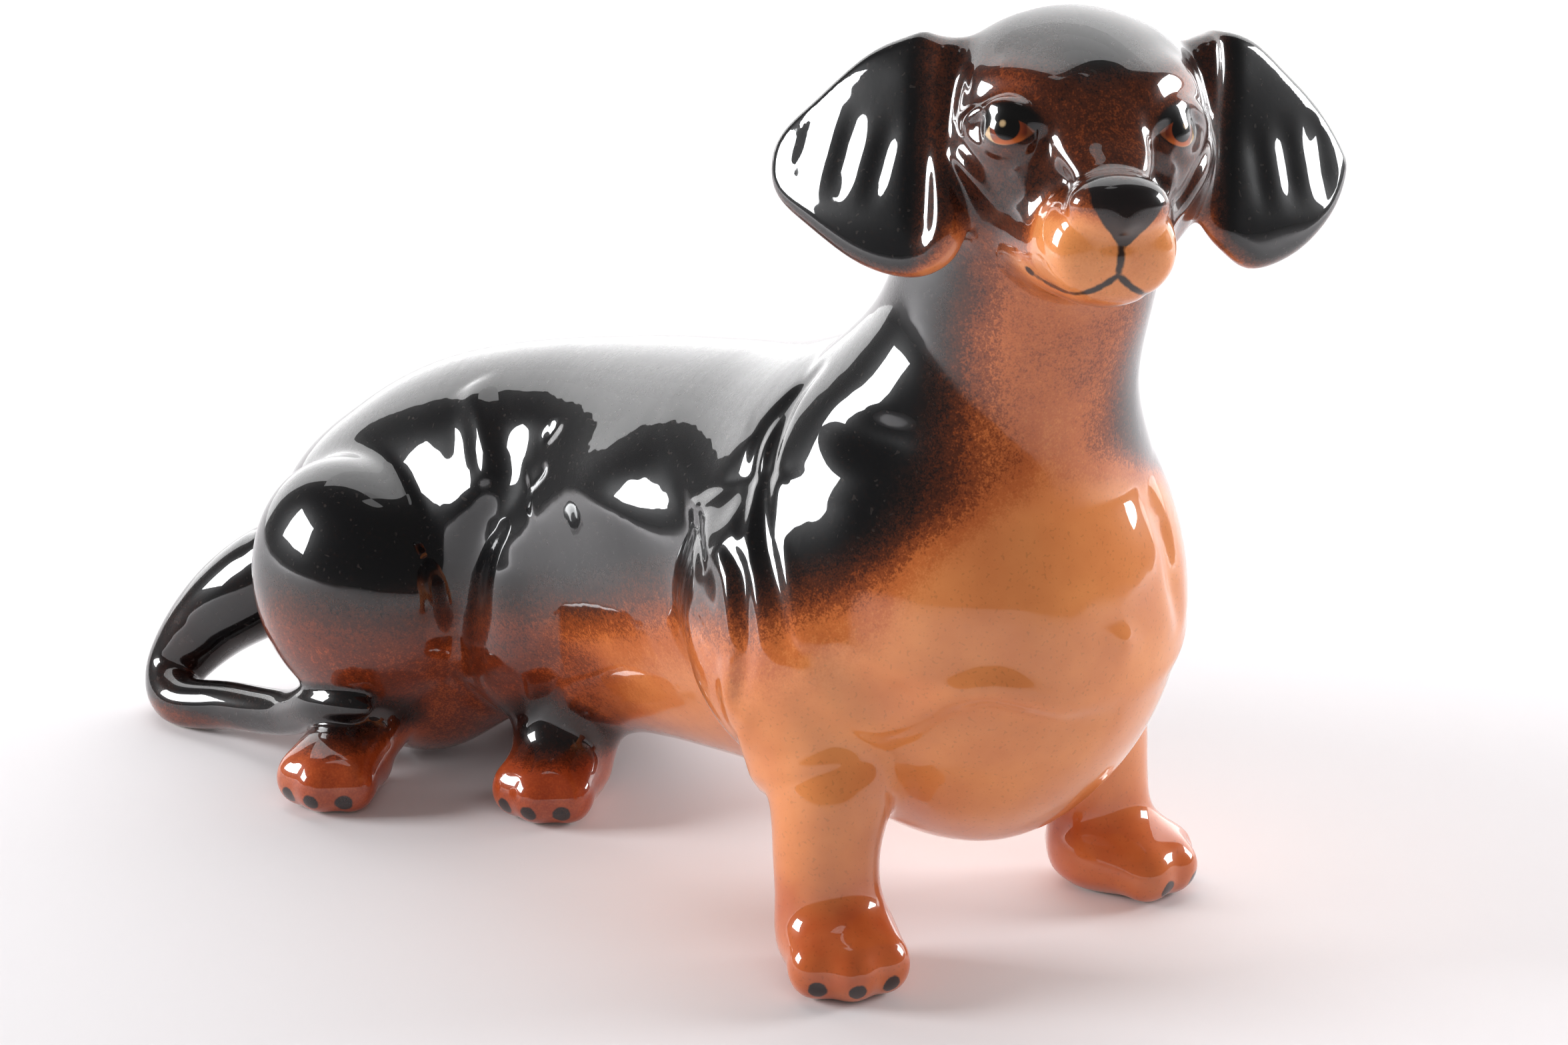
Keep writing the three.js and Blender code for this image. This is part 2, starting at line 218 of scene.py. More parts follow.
trunk = Form(
    [(RUMP_X, -15, 24.5), (-58.6, -12, 27), (-42.3, -5.4, 31), (-18.2, 0, 34.5), (8.8, 0, 38.5),
     (30.8, 0.5, 41), (47.8, 2, 41), (BREAST_X, 2.5, 42)],
    [12, 17, 21, 22, 23, 25, 25, 20], [13.3, 19, 23.5, 25.7, 26.8, 28.9, 29.5, 20.6],
    blunt=8, keel=0.12, samples=110)
haunch_right = Form(
    [(HAUNCH_X - 16, -26, 22.5), (HAUNCH_X - 2, -27, 26.5), (HAUNCH_X + 15, -23, 27.5)],
    [10, 12, 10], [13, 16.5, 13], blunt=2.6)
haunch_left = Form(
    [(HAUNCH_X - 22, 3, 14), (HAUNCH_X - 4, 7.5, 15.5), (HAUNCH_X + 20, 9, 14)],
    [12, 15, 12], [13, 16, 12], blunt=2.6)
seat = Form(
    [(HAUNCH_X - 14, -11, 15), (HAUNCH_X - 3, -15, 14.5), (HAUNCH_X + 12, -14, 16.5)],
    [11, 12.5, 9], [13, 13.8, 11], blunt=2.6)
knee = Form(
    [(KNEE_X - 7, -4, 22), (KNEE_X, -11, 22), (KNEE_X + 7, -13, 17)], [9, 11, 7], [12, 14, 10], blunt=2.4)
SHOULDER = [(FORE_X - 16, -18, 56), (FORE_X - 9, -21, 39), (FORE_X - 3, -21, 24)]
shoulder_right = Form(SHOULDER, [8, 9.5, 7.5], [11, 14, 10], blunt=3, up=(1, 0, 0))
shoulder_left = Form(mirrored(SHOULDER), [8, 9.5, 7.5], [11, 14, 10], blunt=3, up=(1, 0, 0))
neck = Form(
    [(36, 1, 43), (41, 1, 57), (46.5, 1.5, 72.9), (51, 2, 87.4), (53, 1.8, 98)],
    [24, 21, 15.3, 14.4, 12], [24, 21, 16.2, 15, 12], blunt=8, up=(1, 0, 0), samples=90)
skull = Form(
    [(-17, 0, -1), (-8.5, 0, 0), (3, 0, 0), (11.4, 0, -1.2), (17.7, 0, -4)],
    [12.4, 14.9, 15.5, 13.6, 7.8], [12.4, 15.2, 15.5, 13.6, 7.8], blunt=4)
muzzle = Form(
    [(0, 0, -5), (12, 0, -5.6), (21.4, 0, -6), (27.5, 0, -6)],
    [11.2, 9.3, 7.75, 6.5], [10.8, 8.4, 6.75, 5.7], blunt=6)
bridge = Form(
    [(3, 0, 7.4), (12, 0, 6.2), (18, 0, 3.5), (23.5, 0, 0.2)],
    [8.4, 6.6, 5.4, 4.4], [4, 3.1, 2.6, 2.2], blunt=5)
nose = Form(
    [(20.5, 0, -1.0), (25.4, 0, -0.8), (29.2, 0, -1.9)],
    [4.6, 5.7, 3.9], [3.0, 3.7, 2.8], blunt=2.6)
crown = Form(
    [(-3, -11.5, 5.6), (0, -5, 7.4), (0, 5, 7.4), (-3, 11.5, 5.6)],
    [9, 11, 11, 9], [6.6, 7.4, 7.4, 6.6], blunt=3)
jaw = Form(
    [(3, 0, -8.5), (13, 0, -8.6), (20.5, 0, -8.4), (25.3, 0, -8.0)],
    [11.2, 8.6, 5.9, 3.9], [6.2, 5.5, 4.6, 3.2], blunt=4)


class Leaf:
    """An ear: a drooping leaf with a rounded edge, thick where it joins the skull."""

    def __init__(self, side, turn, tilt, centre, outline):
        turn, tilt = math.radians(turn), math.radians(tilt)
        level = math.cos(tilt)
        self.n = np.array([math.cos(turn) * level, side * math.sin(turn) * level, math.sin(tilt)])
        inward = np.cross(self.n, (0.0, 0.0, 1.0)) * side
        self.inward = inward / np.linalg.norm(inward)
        up = np.cross(self.n, self.inward)
        self.up = up if up[2] > 0 else -up
        self.c = np.array(centre, float)
        t = np.arange(64) / 64
        self.edge = spline([(x, y, 0.0) for x, y in outline + outline[:1]], t)[:, :2]

    def local(self, p):
        d = p - self.c
        return d @ self.inward, d @ self.up, d @ self.n

    def outline(self, u, v):
        q = np.stack([u, v], 1)
        best = np.full(len(q), 1e9)
        inside = np.zeros(len(q), bool)
        a = self.edge
        for i in range(len(a)):
            s, e = a[i], a[(i + 1) % len(a)]
            seg = e - s
            w = np.clip(((q - s) @ seg) / (seg @ seg), 0, 1)
            best = np.minimum(best, ((q - s - w[:, None] * seg) ** 2).sum(1))
            crosses = (s[1] > v) != (e[1] > v)
            if s[1] != e[1]:
                at = s[0] + (v - s[1]) / (e[1] - s[1]) * seg[0]
                inside ^= crosses & (u < at)
        return np.where(inside, -1, 1) * np.sqrt(best)

    def __call__(self, p):
        d = np.full(len(p), FAR)
        near = np.nonzero(np.linalg.norm(p - self.c, axis=1) < 34)[0]
        if not len(near):
            return d
        u, v, w = self.local(p[near])
        o = self.outline(u, v)
        w = w + 0.0046 * (u + 3) ** 2 + 0.003 * v ** 2 + 0.8 * step(-6, -13, v)
        tall = step(6.5, 1.5, v) * step(-6.5, -1.5, v)
        front = 0.24 * np.exp(-((u + 10.4) / 1.9) ** 2) * tall + 0.26 * np.exp(-((u + 4.8) / 1.7) ** 2) * tall
        front += 0.22 * np.exp(-((u - 0.2) / 1.5) ** 2) * tall
        front += 0.7 * np.exp(-((u - 6.2 + 0.25 * v) / 1.4) ** 2) * step(-9, -4, v)
        half = 1.7 + 0.7 * step(2, 12, v) + 0.5 * np.exp(-((u - 9.0 + 0.25 * v) / 2.0) ** 2)
        r = 1.55
        a = o + r
        b = np.abs(w) - (half - r) + front * step(-0.5, 0.5, w)
        d[near] = np.minimum(np.maximum(a, b), 0) + np.sqrt(np.maximum(a, 0) ** 2 + np.maximum(b, 0) ** 2) - r
        root = smooth_min(self.root(p[near]), d[near], 3.0)
        d[near] = root
        return np.minimum(d, FAR)


EAR_OUTLINE_RIGHT = [
    (0.2, 15.7), (-5.5, 12.3), (-11.3, 6.2), (-15.5, 1.3), (-16.1, -2.6), (-14.0, -6.3), (-8.4, -8.9),
    (-0.6, -11.5), (6.2, -11.6), (10.3, -9.2), (11.7, -4.9), (9.7, -0.8), (6.6, 3.9), (5.2, 9.8),
    (4.0, 14.5)
]
EAR_OUTLINE_LEFT = [
    (2.1, 16.6), (-2.7, 14.8), (-7.0, 10.9), (-12.7, 5.6), (-15.9, 0.7), (-16.0, -2.1), (-12.7, -6.2),
    (-6.4, -10.0), (0.5, -11.2), (4.6, -9.1), (7.7, -5.5), (7.4, 0.5), (6.4, 6.4), (5.8, 12.5),
    (4.6, 15.4)
]
ear_right = Leaf(-1, 50, 20, (2, -21, -2), EAR_OUTLINE_RIGHT)
ear_left = Leaf(1, 32, 18, (3, 21, -2), EAR_OUTLINE_LEFT)
ear_right.root = Form([(-1, -8, 7.2), (0, -13.2, 7.8), (-0.6, -17.2, 7.6)],
                      [4.2, 4.2, 3.6], [2.8, 2.6, 2.2], blunt=4, up=(1, 0, 0))
ear_left.root = Form([(-1, 8, 7.2), (0.5, 13.2, 7.8), (0.6, 17.0, 7.8)],
                     [4.2, 4.2, 3.6], [2.8, 2.6, 2.2], blunt=4, up=(1, 0, 0))
LEG = [(FORE_X - 6, -19, 27), (FORE_X - 1, -21, 22.4), (FORE_X, -22, 13.4), (FORE_X + 1, -22, 1)]
leg_right = Form(LEG, [7.8, 6.8, 6.3, 6.3], [10, 7.3, 6.3, 6.3], blunt=8, up=(1, 0, 0))
leg_left = Form(mirrored(LEG), [7.8, 6.8, 6.3, 6.3], [10, 7.3, 6.3, 6.3], blunt=8, up=(1, 0, 0))
hock_right = Form(
    [(HAUNCH_X - 2, -24.5, 14.5), (HAUNCH_X - 0.5, -26.5, 11.4), (HAUNCH_X + 1.5, -29, 3.5)],
    [6, 6, 5.5], [7.5, 7, 6], blunt=5, up=(1, 0, 0))
hock_left = Form(
    [(KNEE_X, -7.5, 21), (KNEE_X + 2, -11, 11.4), (KNEE_X + 3, -13, 3)],
    [6.5, 6.6, 6], [8, 7, 6], blunt=5, up=(1, 0, 0))
tail = Form(
    [(RUMP_X + 10, -16, 24.5), (RUMP_X + 1, -23.5, 18), (RUMP_X - 5, -28, 11.9), (RUMP_X - 7.5, -32, 5.6),
     (RUMP_X - 2.5, -34.5, 3.1), (RUMP_X + 7, -32.5, 4.5), (HAUNCH_X - 11, -32, 7), (HAUNCH_X, -33.5, 11.8),
     (HAUNCH_X + 8.5, -32, 13)],
    [8.5, 7.1, 5.6, 4.1, 3.5, 3.3, 3.1, 2.9, 2.0], blunt=12, samples=140)


class Paw:
    """A paw along `aim` from the ankle, with three toes over a flat sole."""

    def __init__(self, ankle, aim, size=1.0):
        a = math.radians(aim)
        self.out = np.array([math.cos(a), math.sin(a), 0.0])
        self.left = np.array([-math.sin(a), math.cos(a), 0.0])
        self.ankle = np.array(ankle, float)
        at = lambda reach, height: self.ankle + self.out * reach * size + np.array([0, 0, height])
        self.foot = Form([at(-7.5, 5), at(-1.8, 4.9), at(4.3, 4.6), at(10, 4.2)],
                         [5.5 * size, 6.7 * size, 6.9 * size, 5.0 * size], [4.8, 5.6, 5.1, 3.6], blunt=3)
        self.toes = []
        for reach, across in [(6.6, -4.2), (8.4, 0.0), (6.6, 4.2)]:
            c = at(reach, 3.6) + self.left * across * size
            self.toes.append(c)
        middle, drop = at(0, 3.6), np.array([0, 0, -1.5])
        self.claws = [c + self.out * 2.6 + (c - middle) * 0.07 + drop for c in self.toes]

    def __call__(self, p):
        d = self.foot(p)
        for c in self.toes:
            d = smooth_min(d, ball(p, c, (3.0, 3.0, 3.4)), 3.4)
        return d


paws = {
    "foreleg_right": Paw((FORE_X + 2, -22, 0), -28),
    "foreleg_left": Paw((FORE_X + 2, 22, 0), 28),
    "hind_foot_right": Paw((HAUNCH_X + 3, -32.4, 0), -62, 0.9),
    "hind_foot_left": Paw((KNEE_X + 3.6, -13.4, 0), -62, 0.9),
}


# The folds and hollows that the modeller put in the clay: lines on the right; those of the shoulders, elbows,
# ribs and legs are repeated on the left, the flank, hip and breast ones are not.
SHOULDER_FOLD = [
    (30.5, -11.9, 70.7), (28.5, -15.4, 66), (29.5, -19.2, 61.9), (31.6, -22.7, 57.5),
    (34.4, -25.3, 53.7), (37.5, -26.8, 50.1), (40.6, -27.9, 45.5), (42.7, -28.2, 40.4)
]
SECOND_FOLD = [
    (27.8, -13.7, 67.2), (26.4, -17.9, 62.8), (27.2, -21.1, 58.8), (29.6, -24, 55.3), (32, -25.9, 52)
]
ELBOW_FOLD = [
    (29.9, -27.2, 50.8), (33.4, -28, 49.3), (35.5, -29, 46.3), (37.2, -30, 40.6), (36.8, -30.3, 36.3),
    (35.4, -29.8, 32.1), (36.7, -28.9, 29.1)
]
RIB_CREASES = [[(19.3, -22.7, 52), (23.6, -25.9, 49.6), (27.9, -28.5, 46.8)],
               [(26.1, -29.1, 42.1), (29.3, -30, 40.4), (33.3, -30.5, 37.5)]]
FLANK_CREASES = [[(-16.5, -15.6, 53.1), (-17.1, -16.6, 51.6), (-17.7, -17.4, 50.4)],
                 [(-15.2, -18.8, 48.2), (-17, -19.6, 46.3), (-18.9, -20.5, 44)]]
FLANK_VALLEY = [(-17.9, -20.1, 45), (-22.2, -21.5, 41.6), (-24.5, -22.7, 37.7), (-25.7, -23.5, 33.2),
                (-26.8, -23.5, 28.4), (-28.1, -22.6, 23.5)]
HIP_RIDGE = [(-36.5, -14, 52.5), (-33.5, -16, 52), (-28.8, -18.9, 48.6), (-25, -21, 44.1)]
BREAST_EDGE = [
    (66.5, 3, 36.4), (66.6, -1.1, 36.2), (65.5, -5.4, 35.7), (64.5, -8.5, 36.8), (61.3, -13.8, 38.6),
    (57, -16.7, 36.3), (52.7, -18.6, 33.2), (49.3, -20.6, 32.1), (47.1, -24, 34.1), (44, -27.5, 40.2)
]
LEG_CREASE = [(48.2, -20.8, 28.5), (49.2, -18.9, 26.2), (49, -16, 22), (44, -11, 15.5)]
SHOULDER_LINE = [(61.4, -9.5, 58), (62.6, -12.3, 52), (63.6, -12.4, 46), (63, -14, 40)]


def body_modelling(p):
    d = np.zeros(len(p))
    close = np.nonzero((p[:, 0] > -60) & (p[:, 2] > 8))[0]
    q = p[close]
    m = q * np.array([1.0, -1.0, 1.0])
    e = np.zeros(len(q))
    for s in (q, m):
        e += stroke(s, SHOULDER_FOLD, 1.35, 1.15)
        e += stroke(s, SECOND_FOLD, 1.0, 0.9)
        e -= stroke(s, [(x - 1.6, y - 0.4, z + 0.6) for x, y, z in SHOULDER_FOLD[1:6]], 1.0, 0.55)
        e += stroke(s, ELBOW_FOLD, 1.2, 0.9)
        e -= dent(s, (35.4, -30.6, 33.5), (1.9, 3, 4.6), 1.3)
        e -= stroke(s, [(x - 2.0, y - 0.3, z - 0.6) for x, y, z in ELBOW_FOLD[:4]], 1.1, 0.5)
        e += dent(s, (26.6, -22.6, 55.6), (3.2, 4, 4.6), 0.9)
        for line in RIB_CREASES:
            e += stroke(s, line, 1.1, 0.5)
        e += stroke(s, LEG_CREASE, 2.0, 1.0)
        e += dent(s, (46, -17.5, 65.5), (6, 5, 3.0), 1.5)
    for line in FLANK_CREASES:
        e += stroke(q, line, 0.9, 0.6)
    e += stroke(q, FLANK_VALLEY, 3.0, 1.7)
    e -= stroke(q, HIP_RIDGE, 2.2, 0.9)
    e += dent(q, (-21, -19.5, 47), (4.5, 4, 4), 0.9)
    e += dent(q, (-30.5, -16, 44.5), (4, 5, 4.5), 0.9)
    e -= dent(q, (-20.5, -21.5, 30), (3.4, 4, 4), 0.7)
    e -= dent(q, (-19.5, -20, 21.5), (5, 5, 3), 1.0)
    e -= dent(q, (0, -21, 48.5), (10, 7, 6.5), 1.5)
    e -= stroke(q, BREAST_EDGE, 2.0, 0.9)
    e += stroke(q, [(x, y, z - 3.4) for x, y, z in BREAST_EDGE], 2.2, 0.95)
    e += dent(q, (60.6, -14, 41.5), (5, 4, 3.6), 0.5)
    e += dent(q, (66.5, 3, 42.5), (4, 4, 5), 0.5)
    e += stroke(m, SHOULDER_LINE, 2.0, 0.9)
    e += stroke(q, SHOULDER_LINE, 2.4, 0.35)
    d[close] = e
    return d


EYE = np.array([15.0, 9.5, 5.2])
EYE_SHIFT = np.array([0.0, 0.8, 0.0])  # both eyes sit a little to the dog's right of the muzzle's middle
UPPER_LID = [
    (8.6, -13.8, 4.0), (11.4, -12.4, 6.9), (13.8, -10.1, 8.1), (15.8, -7.6, 7.3), (17.2, -5.7, 5.6)
]
LOWER_LID = [
    (8.6, -13.8, 4.0), (12.2, -12.2, 2.6), (14.9, -10.3, 2.5), (16.6, -8.0, 3.6), (17.2, -5.7, 5.6)
]
BROW = [(7, -13, 9), (11, -10, 11.3), (14.4, -6.6, 11.2), (16.2, -4.0, 9.4)]
CHEEK_RIDGE = [
    (6.5, -15, 1.6), (10.2, -14, 0.4), (12.8, -12.6, -1.6), (14.2, -11, -3.9), (16.6, -9.1, -4.6)
]
TEAR_FOLD = [
    (16.9, -6.6, 4.6), (16.9, -7.9, 2.6), (16.6, -8.9, 0.2), (17.3, -8.4, -1.2), (18.5, -7.6, -1.0),
    (18.8, -7.0, 0.8)
]
MUZZLE_SIDE = [
    (17.3, -5.9, 5.0), (18.5, -6.9, 1.4), (19.2, -7.7, -2.0), (19.2, -8.6, -5.4), (17.6, -9.4, -8.0)
]
MOUTH = [(28.0, 0, -8.0), (27.0, -1.5, -9.3), (25.0, -3.2, -10.3), (22.6, -4.9, -10.9), (19.8, -6.4, -11.0),
         (17.2, -7.7, -10.6)]


def head_modelling(h, d):
    close = np.nonzero((np.abs(d) < 6) & (h[:, 0] > 0))[0]
    q = h[close]
    e = d[close].copy()
    e -= dent(q, (1, 0, 14), (12, 13, 7), 0.5)
    q = q + EYE_SHIFT
    side = q * np.array([1.0, -1.0, 1.0])
    for s in (q, side):
        e += dent(s, (15.6, -9.4, 5.3), (3.6, 3.6, 3.2), 0.9)
        e += dent(s, (16.6, -6.3, 5.2), (1.6, 1.6, 2.2), 0.7)
        e = smooth_min(e, ball(s, EYE * (1, -1, 1) + np.array([-2.3, 1.35, -0.6]), 3.75), 0.7)
        e -= stroke(s, UPPER_LID, 0.95, 0.95, 0.15)
        e -= stroke(s, LOWER_LID, 0.75, 0.5, 0.15)
        e -= stroke(s, BROW, 2.6, 0.7)
        e -= stroke(s, CHEEK_RIDGE, 1.2, 0.7)
        e += stroke(s, [(x + 0.5, y + 0.3, z + 2.0) for x, y, z in CHEEK_RIDGE], 0.9, 0.55)
        e -= stroke(s, TEAR_FOLD, 0.7, 0.5, 0.15)
        e += dent(s, (18.2, -7.8, 0.9), (0.9, 0.9, 1.0), 0.6)
        e += stroke(s, MUZZLE_SIDE, 1.2, 0.75)
    q = q - EYE_SHIFT
    side = q * np.array([1.0, -1.0, 1.0])
    for s in (q, side):
        e -= dent(s, (25.2, -3.9, -7.2), (3.2, 3.2, 2.8), 0.6)
        e += stroke(s, MOUTH, 0.55, 0.55, 0.08)
        e += dent(s, (17.0, -8.2, -11.2), (0.9, 0.9, 0.9), 0.5)
        e += dent(s, (28.9, -1.7, -2.9), (0.8, 0.7, 0.7), 0.6)
    e += stroke(q, [(29, 0, -3.8), (28.9, 0, -5.6), (28.4, 0, -7.6)], 0.5, 0.45, 0.1)
    out = d.copy()
    out[close] = e
    return out


def groups(p):
    """Distance to each casting's own forms."""
    h = to_head(p)
    body = smooth_min(trunk(p), neck(p), 16)
    body = smooth_min(body, haunch_left(p), 18)
    body = smooth_min(body, seat(p), 9)
    body = smooth_min(body, knee(p), 9)
    body = smooth_min(body, shoulder_right(p), 7)
    body = smooth_min(body, shoulder_left(p), 7)
    body = smooth_min(body, haunch_right(p), 4 + 7 * step(24, 15, p[:, 2]))
    body = body + body_modelling(p)
    head = smooth_min(skull(h), muzzle(h), 6)
    head = smooth_min(head, crown(h), 4)
    head = smooth_min(head, jaw(h), 3)
    head = smooth_min(head, bridge(h), 3)
    head = smooth_min(head, nose(h), 1.9)
    head = head_modelling(h, head)
    return {
        "body_casting": body,
        "head_casting": head,
        "ear_right": ear_right(h),
        "ear_left": ear_left(h),
        "foreleg_right": smooth_min(leg_right(p), paws["foreleg_right"](p), 4),
        "foreleg_left": smooth_min(leg_left(p), paws["foreleg_left"](p), 4),
        "hind_foot_right": smooth_min(hock_right(p), paws["hind_foot_right"](p), 4),
        "hind_foot_left": smooth_min(hock_left(p), paws["hind_foot_left"](p), 4),
        "tail": tail(p),
    }


def field(p):
    """Signed distance to the whole glazed surface."""
    return blend(p, groups(p))


def blend(p, g):
    d = smooth_min(g["body_casting"], g["head_casting"], 6)
    d = smooth_min(d, g["ear_right"], 3)
    d = smooth_min(d, g["ear_left"], 3)
    for name in ("foreleg_right", "foreleg_left"):
        d = smooth_min(d, g[name], 8)
    d = smooth_min(d, g["hind_foot_left"], 6)
    d = smooth_min(d, g["hind_foot_right"], 4)
    rump = step(-58, -70, p[:, 0])
    d = smooth_min(d, g["tail"], 1.2 + 5 * rump)
    vent = np.hypot(p[:, 0] - VENT_X, p[:, 1]) - 4.0
    d = smooth_max(d, -np.maximum(vent, p[:, 2] - 24.0), 1.2)
    return smooth_max(d, -p[:, 2], 0.6)
# ---- Sculpt end ----


def volume():
    """The field on a grid: everywhere roughly, and exactly in a band round the surface."""
    low = np.array([-91.0, -50.0, -3.0])
    size = np.ceil((np.array([89.0, 42.0, 121.0]) - low) / VOXEL / 4).astype(int) * 4 + 1
    coarse_n = (size - 1) // 4 + 1
    axes = [low[i] + np.arange(coarse_n[i]) * VOXEL * 4 for i in range(3)]
    grid = np.stack(np.meshgrid(*axes, indexing="ij"), -1).reshape(-1, 3)
    coarse = field(grid).reshape(coarse_n)
    full = coarse
    for axis in range(3):
        n = full.shape[axis]
        at = np.arange((n - 1) * 4 + 1) / 4
        i = np.minimum(at.astype(int), n - 2)
        shape = [1, 1, 1]
        shape[axis] = len(at)
        w = (at - i).reshape(shape).astype(np.float32)
        full = (np.take(full, i, axis) * (1 - w) + np.take(full, i + 1, axis) * w).astype(np.float32)
    near = np.nonzero(np.abs(full) < BAND + 1.2)
    points = np.stack(near, 1) * VOXEL + low
    for part in np.array_split(np.arange(len(points)), max(1, len(points) // 400000)):
        full[near[0][part], near[1][part], near[2][part]] = field(points[part])
    for axis in range(3):
        for _ in range(2):
            a = np.moveaxis(full, axis, 0)
            a[1:-1] = 0.25 * a[:-2] + 0.5 * a[1:-1] + 0.25 * a[2:]
    return full, low


def sample(full, low, p):
    """The grid's value at each point, and its gradient there."""
    s = (p - low) / VOXEL
    i = np.clip(s.astype(int), 1, np.array(full.shape) - 3)
    w = s - i
    value = np.zeros(len(p))
    grad = np.zeros((len(p), 3))
    for dx in (0, 1):
        for dy in (0, 1):
            for dz in (0, 1):
                x, y, z = i[:, 0] + dx, i[:, 1] + dy, i[:, 2] + dz
                k = (np.abs(1 - dx - w[:, 0]) * np.abs(1 - dy - w[:, 1]) * np.abs(1 - dz - w[:, 2]))
                value += k * full[x, y, z]
                grad[:, 0] += k * (full[x + 1, y, z] - full[x - 1, y, z])
                grad[:, 1] += k * (full[x, y + 1, z] - full[x, y - 1, z])
                grad[:, 2] += k * (full[x, y, z + 1] - full[x, y, z - 1])
    return value, grad / (2 * VOXEL)


# ---- Painting ----
def fade_height(x):
    """How high the tan reaches on the flanks before the black begins."""
    return np.interp(x, [-80, -58, -44, -30, -15.7, -4.5, 14, 38, 46, 52, 56, 60, 66],
                     [18, 25, 26, 26, 29.5, 33, 40.5, 46.5, 50.5, 55.5, 63, 74, 95])


def painting(p, g):
    """The underglaze: black, how red the tan is, bare clay, and the distance to a painted mark; along the
    bridge the black is lessened as a painted reflection.
    """
    h = to_head(p)
    x, y, z = p.T
    # Body: black above a soft line along the flank, running up each side of the neck.
    above = z - fade_height(x)
    t = np.clip((z - 57) / 41, 0, 1)
    cx, cy = 41 + 12 * t, 1 + 0.8 * t
    turn = np.abs(np.arctan2(y - cy, x - cx) + math.radians(20))
    turn = np.minimum(turn, 2 * np.pi - turn)
    beside = (turn - np.radians(np.interp(z, [52, 64, 72, 80, 90], [42, 36, 38, 46, 50]))) * 15
    high = step(52, 66, z)
    s = above * (1 - high) + beside * high
    black = 0.62 * step(-7, 8, s) + 0.38 * step(-17, 4, s)
    black = np.maximum(black, 0.22 * step(62, 74, z))
    red = 0.25 + 0.3 * step(24, 6, z)
    rear = step(10, -22, x)
    black = np.maximum(black, 0.34 * rear * step(34, 26, z))
    red = np.maximum(red, rear * step(34, 24, z) * 0.95)
    red = np.maximum(red, 0.45 * rear)
    # Haunch: dark down to the knee.
    black = np.maximum(black, 0.45 * rear * step(14, 24, z))
    hind = step(3.5, 0, np.minimum(g["hind_foot_right"], g["hind_foot_left"]))
    black = np.where(hind > 0, black * (1 - hind) + hind * (0.12 + 0.75 * step(6.5, 10.5, z)), black)
    red = red * (1 - hind) + hind
    fore = step(3.5, 0, np.minimum(g["foreleg_right"], g["foreleg_left"])) * step(30, 14, z)
    red = np.maximum(red, fore * (0.35 + 0.5 * step(16, 8, z)))
    tailed = step(2.2, 0.2, g["tail"])
    black = np.maximum(black, tailed * (0.9 - 0.45 * step(4.5, 2.5, z)))
    # Head.
    hx, hy, hz = h.T
    side = np.abs(hy)
    on_head = step(6, 0, g["head_casting"]) * step(-16, -9, hz)
    face = 0.76 + 0.2 * step(2, -10, hx)
    face += 0.10 * step(10, 14, hz)
    face -= 0.42 * np.exp(-((hx - 11.5) / 4.5) ** 2 - ((side - 9.6) / 4.0) ** 2 - ((hz - 9.6) / 2.7) ** 2)
    face -= 0.16 * np.exp(-((side - 13) / 3.5) ** 2 - ((hz - 1.5) / 5) ** 2)
    # Painted reflection: the black is lessened along the middle of the bridge, standing in for the grey sheen
    # of the overhead sweep.
    face -= 0.24 * np.exp(-(side / 4.2) ** 2) * step(12, 17, hx) * step(-1, 2, hz)
    face -= 0.36 * step(-3, -9, hz) * step(-4, 6, hx)
    face += 0.16 * np.exp(-(side / 3.4) ** 2) * step(3, 9, hx)
    over = hz + 1.6 - 1.2 * step(23, 27, hx)
    muzzle_tan = step(16.3, 20.3, hx) * step(2.8, -2.4, over)
    muzzle_tan = np.maximum(muzzle_tan, step(8, 16, hx) * step(-6.5, -10, hz))
    face -= 0.14 * step(12, 20, hx) * step(-1, 4, hz)
    face = face * (1 - muzzle_tan) + 0.04 * muzzle_tan
    throat = step(-10.5, -13.5, hz) * step(2, 9, hx)
    face = face * (1 - throat) + 0.1 * throat
    black = black * (1 - on_head) + face * on_head
    red = red * (1 - on_head) + on_head * (0.5 - 0.45 * muzzle_tan)
    for ear in (ear_right, ear_left):
        u, v, w = ear.local(h)
        d = g["ear_right" if ear is ear_right else "ear_left"]
        on = step(2.5, 0, d) * step(5, 1, np.abs(w))
        shade = 0.99 - 0.3 * step(3.5, 6.5, u + 0.25 * v) - 0.35 * step(0.8, -0.4, w + 0.6) * step(-3, -9, v)
        rim = ear.outline(u, v)
        shade -= 0.42 * step(-1.5, -0.2, rim) * step(-1, -7, v)
        black = black * (1 - on) + shade * on
        red = red * (1 - on) + 0.4 * on
    bare = step(0.35, 0.12, z)
    inside = step(4.6, 4.0, np.hypot(x - VENT_X, y)) * step(26, 24.5, z)
    bare = np.maximum(bare, inside)
    return np.clip(black, 0, 1), np.clip(red, 0, 1), bare, marks(p, h)


def marks(p, h):
    """Distance to the nearest black mark put on with a brush: nose, lip line and claws."""
    hx, hy, hz = h.T
    half = 4.1 * np.clip((hz + 4.9) / 4.9, 0, 1) ** 0.8
    d = np.maximum.reduce([0.85 * (np.abs(hy - 0.3) - half), 25.0 - hx, hz - 2.6, -4.7 - hz])
    flat = np.array([0.35, 1.0, 1.0])
    line, share = course(h * flat, [(10, 0, -4.2), (10, 0, -5.8), (9.8, 0, -8.2)], 6)
    d = np.minimum(d, np.where(hx > 20, line - 0.55 + 0.18 * share, 6))
    for points in (MOUTH, other(MOUTH)):
        line, share = course(h * flat, [tuple(np.array(q) * flat) for q in points], 6)
        d = np.minimum(d, np.where(hx > 14, line - 0.36 - 0.1 * share, 6))
        d = np.minimum(d, np.linalg.norm((h - np.array(points[-1])) * (0.6, 1, 1), axis=1) - 0.8)
    for paw in paws.values():
        for claw in paw.claws:
            d = np.minimum(d, ball(p, claw, (1.15, 1.15, 1.25)))
    return np.clip(d, -3, 6)


